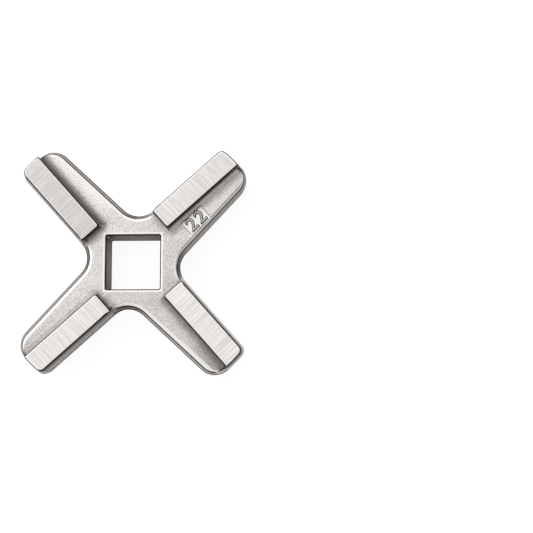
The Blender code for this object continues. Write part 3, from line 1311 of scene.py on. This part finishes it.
    def paint(self, graph: Graph) -> None:
        """Feeds the shader.

        Args:
            graph: The material's graph.
        """
        arm, up = ArmPlace(graph, self.plan), graph.facing()
        grain = graph.noise(arm.at, self.grain, rough=0.62)
        blotch = graph.noise(arm.at, self.blotch, detail=4.0)
        speck = grain * self.grain_share + blotch * (1.0 - self.grain_share)
        plain = graph.lay(self.grey, (speck.ease(*self.pale_span), self.pale))
        outer = arm.along.ease(*self.outer_span)
        lower = (arm.x - arm.y).ease(*self.shade_span) * arm.along.fade(*self.shade_reach)
        painted_shade = self._hollow_shade(arm, speck)
        rolled = up.band(*self.roll_facing) * arm.height.band(*self.roll_band)
        wear_and_sheen = self._sheen_band(arm) * up.ease(*self.sheen_facing) * speck.ease(*self.sheen_grain)
        wall = self._is_wall(arm, up)
        front = graph.lay(
            plain,
            # painted highlight on the outer part of some arms
            (outer * arm.level(self.shine) * speck.ease(*self.shine_span), self.rim),
            # painted shade on the outer part of some arms
            (outer * arm.level(self.dull), self.painted_shade),
            # painted shade over the lower right of the hub
            (lower * self.shade, self.painted_shade),
            # painted shade in the hollows round the lands
            (painted_shade, self.painted_shade),
            # painted shade towards the tips
            (arm.along.ease(*self.tip_shade_span) * arm.level(self.tip_shade), self.painted_shade),
            # painted highlight on the rolled rim
            (rolled * painted_shade.fade(*self.roll_shade), self.rim),
            # painted highlight along the trailing sides
            (wear_and_sheen, self.bright),
            # painted shade: the dark line at each tip
            (self._tip_line(arm), self.line),
            # painted highlight round the hole's rim
            (self._hole_rim(graph, arm), self.rim),
            # painted strokes: highlights where bright, shade where dark
            *((self._stroke(arm, mark), self.rim if mark.bright else self.line)
              for mark in self.strokes),
            # painted shade: a fine dark line along one rim
            (self._rim_shade(arm), self.line),
            # the walls: their own darker skin with painted shade by height
            (wall, self._walls(graph, arm)),
        )
        seen = up.ease(*self.back_facing)
        # painted shade in tight corners
        corner = graph.openness(self.corner_reach).fade(*self.corner_span) * self.corner_shade
        graph.feed(Base_Color=graph.lay(plain, (seen, front), (corner, self.painted_shade)))
        matt = wall * self.wall_dull | painted_shade * self.shade_dull | wear_and_sheen * self.sheen_dull
        graph.dull(matt * seen, self.metal)
        coarse, fine = graph.bump(blotch, *self.blotch_bump), graph.bump(grain, *self.grain_bump)
        graph.put(fine.inputs["Normal"], coarse.outputs["Normal"])
        rough = blotch * self.more_rough + self.least_rough
        graph.feed(Roughness=rough, Normal=fine.outputs["Normal"])


@dataclass(frozen=True)
class GroundLand(Finish):
    """A land's flat top, with the fine marks of the grinding wheel across it.

    Each arm's land is also painted a little lighter or darker, as painted shade for how the light
    falls.
    """

    plan: Plan
    pale: Colour = (0.99, 0.955, 0.93)
    grey: Colour = (0.80, 0.765, 0.74)
    # Painted shade: each arm's land a little darker or lighter.
    levels: Levels = (0.89, 0.71, 0.93, 1.0)
    fine: float = 3400.0
    fine_share: float = 0.68
    broad: float = 1500.0
    bow: float = 6.0
    drawn_out: float = 0.03
    apart: float = 0.05
    tone_span: Span = (0.40, 0.60)
    mark_bump: Span = (0.4, 0.02 * MM)
    least_rough: float = 0.34
    more_rough: float = 0.1

    def paint(self, graph: Graph) -> None:
        """Feeds the shader.

        Args:
            graph: The material's graph.
        """
        arm = ArmPlace(graph, self.plan)
        bowed = arm.along + arm.across * arm.across * self.bow
        feeds = {0: bowed, 1: arm.across * self.drawn_out, 2: arm.number * self.apart}
        marks = graph.node("CombineXYZ", feeds).outputs[0]
        fine = graph.noise(marks, self.fine, detail=2.0)
        broad = graph.noise(marks, self.broad, detail=2.0, rough=0.5)
        tone = fine * self.fine_share + broad * (1.0 - self.fine_share)
        colour = graph.lay(self.grey, (tone.ease(*self.tone_span), self.pale))
        # painted shade for each arm
        colour = graph.lay(colour, (1.0, arm.level(self.levels)), kind="MULTIPLY")
        bumps = graph.bump(tone, *self.mark_bump).outputs["Normal"]
        rough = broad * self.more_rough + self.least_rough
        graph.feed(Base_Color=colour, Roughness=rough, Normal=bumps)


@dataclass(frozen=True)
class BrightEdge(Finish):
    """The fine bright edges round the lands and the hole, smoothed by wear, and painted dark as shade
    where they turn down from the top.
    """

    pale: Colour = (0.97, 0.955, 0.94)
    wear_and_sheen: Colour = (0.84, 0.82, 0.80)
    # dark: the painted shade where the edges turn down.
    dark: Colour = (0.020, 0.017, 0.015)
    wear: float = 1500.0
    wear_span: Span = (0.35, 0.6)
    hole_span: Span = mm(10.5, 11.5)
    hole_shift: float = 0.04
    dark_facing: Span = (0.84, 0.94)

    def paint(self, graph: Graph) -> None:
        """Feeds the shader.

        Args:
            graph: The material's graph.
        """
        place = graph.place()
        wear = graph.noise(place, self.wear)
        at_hole = graph.parts(place)[2].fade(*self.hole_span)
        # Painted shade on the part of each edge that turns away from the top, over more of it round
        # the hole.
        low = (graph.facing() - at_hole * self.hole_shift).fade(*self.dark_facing)
        layers = (wear.ease(*self.wear_span), self.pale), (low, self.dark)
        graph.feed(Base_Color=graph.lay(self.wear_and_sheen, *layers))
        graph.dull(low, 0.5)


@dataclass(frozen=True)
class PadFace(Finish):
    """An even face of the size mark."""

    pale: Colour = (1.0, 0.99, 0.98)
    wear_and_sheen: Colour = (0.90, 0.885, 0.87)
    wear: float = 1800.0
    wear_span: Span = (0.35, 0.6)

    def paint(self, graph: Graph) -> None:
        """Feeds the shader.

        Args:
            graph: The material's graph.
        """
        wear = graph.noise(graph.place(), self.wear)
        graph.feed(Base_Color=graph.lay(self.wear_and_sheen, (wear.ease(*self.wear_span), self.pale)))


@dataclass(frozen=True)
class HoleWall(Finish):
    """The walls of the square hole: painted dark as shade, lighter in bands down the depth and darker
    towards the corners, with a painted glint in the corners and fine lines that run round it.
    """

    plan: Plan
    pale: Colour = (0.42, 0.385, 0.36)
    # dark: the painted shade of the hole, which the depth curve lightens in bands.
    dark: Colour = (0.030, 0.026, 0.023)
    glint: Colour = (0.60, 0.57, 0.54)
    lines: float = 2100.0
    line_span: Span = (0.35, 0.65)
    line_share: float = 0.45
    line_bump: Span = (0.3, 0.05 * MM)
    drawn_out: Span = (0.04, 0.04, 1.0)
    # Painted shade towards the corners, and a painted glint in them.
    corner_span: Span = mm(2.5, 7.2)
    corner_dark: float = 0.55
    glint_span: Span = mm(6.90, 7.08)
    glint_height: Span = mm(0.3, 1.5)
    glint_share: float = 0.8
    # depths: how light the wall is down the hole, painted shade that is darkest at the bottom.
    depths: Stops = (
        (0.0, 0.0), (0.10, 0.04), (0.20, 0.70), (0.42, 1.0), (0.56, 0.50), (0.66, 0.95),
        (0.78, 0.60), (0.90, 0.30), (1.0, 0.30),
    )

    def paint(self, graph: Graph) -> None:
        """Feeds the shader.

        Args:
            graph: The material's graph.
        """
        place = graph.place()
        height = graph.parts(place)[2]
        drawn = graph.node("Mapping", {0: place, 3: self.drawn_out}).outputs[0]
        lines = graph.noise(drawn, self.lines)
        sideways = graph.math("MINIMUM", *graph.from_hole(self.plan))
        level = (height / self.plan.body_height).curve(self.depths)
        level *= lines.ease(*self.line_span) * self.line_share + (1.0 - self.line_share)
        level *= 1.0 - sideways.ease(*self.corner_span) * self.corner_dark
        glint = sideways.ease(*self.glint_span) * height.ease(*self.glint_height)
        layers = (level, self.pale), (glint * self.glint_share, self.glint)
        bumps = graph.bump(lines, *self.line_bump).outputs["Normal"]
        graph.feed(Base_Color=graph.lay(self.dark, *layers), Normal=bumps)


FIGURE_FACE = PadFace((0.66, 0.63, 0.60), (0.50, 0.47, 0.45))
# Painted shade: the near-black sides of the figures and the pad.
FIGURE_SIDE_SHADE = PadFace((0.012, 0.010, 0.009), (0.04, 0.035, 0.032))


# The studio


@dataclass(frozen=True)
class Floor(Finish):
    """A pale floor, which stays white under the camera but for the knife's shadow."""

    colour: Colour = (0.9, 0.9, 0.9)
    seen: Colour = (0.15, 0.15, 0.15)
    glow: float = 0.915
    size: float = 6.0
    drop: float = 0.02 * MM

    def paint(self, graph: Graph) -> None:
        """Feeds the shader, and adds the glow that the camera and reflections see.

        Args:
            graph: The material's graph.
        """
        path = graph.node("LightPath", {}).outputs
        seen = graph.math("MAXIMUM", path["Is Glossy Ray"], path["Is Transmission Ray"])
        seen |= path["Is Camera Ray"]
        graph.feed(Base_Color=graph.lay(self.colour, (seen, self.seen)))
        plain = graph.tree.nodes["Principled BSDF"].outputs[0]
        glow = graph.node("Emission", {"Color": (1, 1, 1), "Strength": self.glow}).outputs[0]
        both = graph.node("AddShader", {0: plain, 1: glow}).outputs[0]
        mixed = graph.node("MixShader", {0: seen, 1: plain, 2: both}).outputs[0]
        graph.put(graph.tree.nodes["Material Output"].inputs["Surface"], mixed)

    def build(self) -> None:
        """Lays the floor just under the knife."""
        deselect_all()
        bpy.ops.mesh.primitive_plane_add(size=self.size, location=(0, 0, -self.drop))
        made = bpy.context.object
        made.name = "floor"
        made.data.materials.append(self.material("pale_floor", Roughness=0.9))


@dataclass
class Studio:
    """The camera, the pale surroundings and the lamp."""

    camera_place: Span = mm(74.0, -72.0, 546.3)
    camera_tilt: Span = (radians(-7.42), radians(-3.97), radians(1.50))
    camera_nearest: float = 0.01
    focal_pixels: float = 2000.0
    image_pixels: float = 533.0
    sensor: float = 36.0
    bright_side: float = radians(138)
    bright_levels: Stops = ((0.0, 0.60), (0.2, 0.90), (0.6, 0.98), (0.9, 0.70), (1.0, 0.62))
    dark_levels: Stops = ((0.0, 0.30), (0.2, 0.16), (0.6, 0.22), (0.88, 0.45), (1.0, 0.62))
    side_span: Span = (-0.60, 0.05)
    world_strength: float = 1.12
    lamp_place: Span = (-0.33, 0.30, 0.72)
    lamp_size: float = 0.40
    lamp_power: float = 1.1

    def _camera(self) -> None:
        """Adds the camera that looks down on the knife."""
        x, y, z = self.camera_tilt
        look = Matrix.Rotation(z, 3, "Z") @ Matrix.Rotation(y, 3, "Y") @ Matrix.Rotation(x, 3, "X")
        data = bpy.data.cameras.new("camera")
        data.sensor_width = self.sensor
        data.lens = self.focal_pixels / self.image_pixels * self.sensor
        data.clip_start = self.camera_nearest
        made = bpy.data.objects.new("camera", data)
        bpy.context.scene.collection.objects.link(made)
        made.matrix_world = Matrix.Translation(self.camera_place) @ look.transposed().to_4x4()
        bpy.context.scene.camera = made

    def _lamp(self) -> None:
        """Adds the soft square lamp that faces the knife."""
        data = bpy.data.lights.new("key_lamp", "AREA")
        data.shape, data.size, data.energy = "SQUARE", self.lamp_size, self.lamp_power
        made = bpy.data.objects.new("key_lamp", data)
        bpy.context.scene.collection.objects.link(made)
        made.location = self.lamp_place
        made.rotation_euler = Vector(self.lamp_place).to_track_quat("Z", "Y").to_euler()

    def _world(self) -> None:
        """Lights the scene from all round: pale overhead and on one side, dark on the other."""
        world = bpy.data.worlds.new("studio")
        world.use_nodes = True
        bpy.context.scene.world = world
        graph = Graph(world.node_tree)
        x, y, z = graph.parts(graph.node("TexCoord", {}).outputs["Generated"])
        side = x * cos(self.bright_side) + y * sin(self.bright_side)
        bright = (side.ease(*self.side_span), z.curve(self.bright_levels))
        background = world.node_tree.nodes["Background"].inputs
        graph.put(background["Color"], graph.lay(z.curve(self.dark_levels), bright))
        graph.put(background["Strength"], self.world_strength)

    def build(self) -> None:
        """Sets up everything round the knife."""
        bpy.context.scene.view_settings.view_transform = "Standard"
        self._camera()
        Floor().build()
        self._world()
        self._lamp()


def main() -> None:
    """Builds the knife and its studio in order, and reports the knife's faces."""
    logging.basicConfig(level=logging.INFO, format="%(message)s")
    plan = Plan()
    even = {"Roughness": 0.45, "Metallic": 0.5, "Specular_IOR_Level": 0.5}
    pale = {**even, "Metallic": 0.6, "Specular_IOR_Level": 0.6}
    matt = {**even, "Metallic": 0.0, "Specular_IOR_Level": 0.0}
    finishes = {
        Skin.CAST: CastSkin(plan).material("cast_skin"),
        Skin.GROUND: GroundLand(plan).material("ground_land", Metallic=0.5),
        Skin.EDGE: BrightEdge().material("bright_edge", Roughness=0.35),
        Skin.HOLE: HoleWall(plan).material("hole_wall", Roughness=0.5, Specular_IOR_Level=0.1),
        Skin.PAD: PadFace().material("size_pad", **pale),
        Skin.FIGURE: FIGURE_FACE.material("figure_face", **even),
        Skin.OUTLINE: FIGURE_SIDE_SHADE.material("figure_side_shade", **matt),
    }
    knife = Casting(plan, SizeMark(plan)).build(finishes)
    LOG.info("%s: %d faces", knife.name, len(knife.data.polygons))
    Studio().build()


if __name__ == "__main__":
    main()
